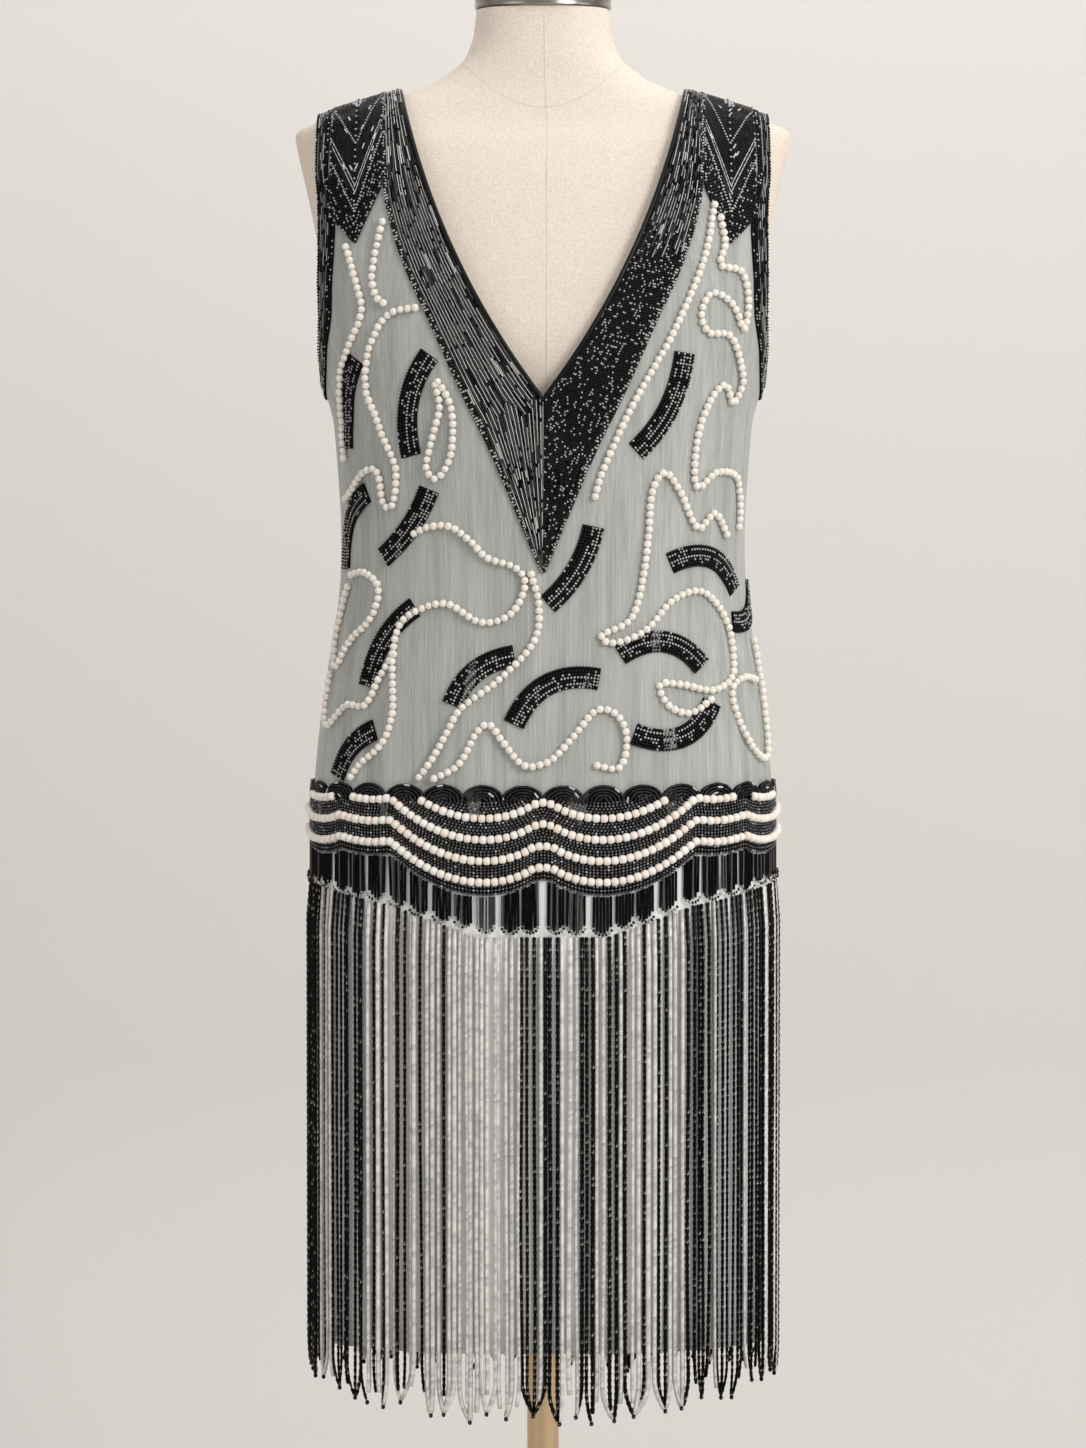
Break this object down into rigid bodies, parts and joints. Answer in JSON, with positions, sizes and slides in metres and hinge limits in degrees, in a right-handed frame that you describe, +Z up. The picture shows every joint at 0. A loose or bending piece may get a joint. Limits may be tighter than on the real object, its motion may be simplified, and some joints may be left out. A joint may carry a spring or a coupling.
{
  "type": "flapper dress on a dress form",
  "caption": "Sleeveless drop-waist dress with beaded bands, scrolling beadwork and a long bead fringe, on a limbless dress form on a stand.",
  "frame": {"origin": "middle of the stand base's underside, on the floor", "axes": "+Z up; the front of the dress faces -Y; +X is to the right as seen from the front"},
  "size_m": [0.395, 0.38, 1.4969],
  "materials": {
    "chiffon": "crinkled silk chiffon, matt with a faint sheen",
    "underskirt_cloth": "plain silk crepe, matt",
    "bugle_beads": "silver-lined and black glass bugle beads, glossy",
    "black_beads": "jet black glass seed beads, glossy",
    "striped_beads": "stripes of cream pearl beads and black seed beads",
    "bead_strands": "strung black and silver glass beads, glossy",
    "pearl_beads": "ivory imitation pearl, satin",
    "linen": "ivory linen stretched over the form, matt",
    "nickel": "brushed nickel plate",
    "brass": "satin brass"
  },
  "bodies": {
    "root": {"arc_back_lower_left": "black_beads", "arc_back_lower_right": "black_beads", "arc_back_middle": "black_beads", "arc_back_upper_left": "black_beads", "arc_back_upper_right": "black_beads", "arc_back_waist_left": "black_beads", "arc_back_waist_right": "black_beads", "arc_hip_left": "black_beads", "arc_hip_right": "black_beads", "arc_left_side": "black_beads", "arc_lower_left": "black_beads", "arc_lower_left_side": "black_beads", "arc_lower_middle": "black_beads", "arc_middle_left": "black_beads", "arc_right": "black_beads", "arc_right_side": "black_beads", "arc_under_neck": "black_beads", "arc_upper_left": "black_beads", "arc_upper_left_side": "black_beads", "arc_upper_right": "black_beads", "arc_waist_side": "black_beads", "armhole_band_back_left": "bugle_beads", "armhole_band_back_right": "bugle_beads", "armhole_band_front_left": "bugle_beads", "armhole_band_front_right": "bugle_beads", "bodice_back": "chiffon", "bodice_front": "chiffon", "form_torso": "linen", "fringe_back": "bead_strands", "fringe_front": "bead_strands", "hip_band_back": "striped_beads", "hip_band_front": "striped_beads", "neck_band_back_left": "bugle_beads", "neck_band_back_right": "bugle_beads", "neck_band_front_left": "bugle_beads", "neck_band_front_right": "bugle_beads", "neck_cap": "nickel", "shoulder_motif_back_left": "black_beads", "shoulder_motif_back_right": "black_beads", "shoulder_motif_front_left": "black_beads", "shoulder_motif_front_right": "black_beads", "stand_base": "brass", "stand_pole": "brass", "tab_row_back": "black_beads", "tab_row_front": "black_beads", "underskirt_back": "underskirt_cloth", "underskirt_front": "underskirt_cloth"}
  },
  "joints": []
}
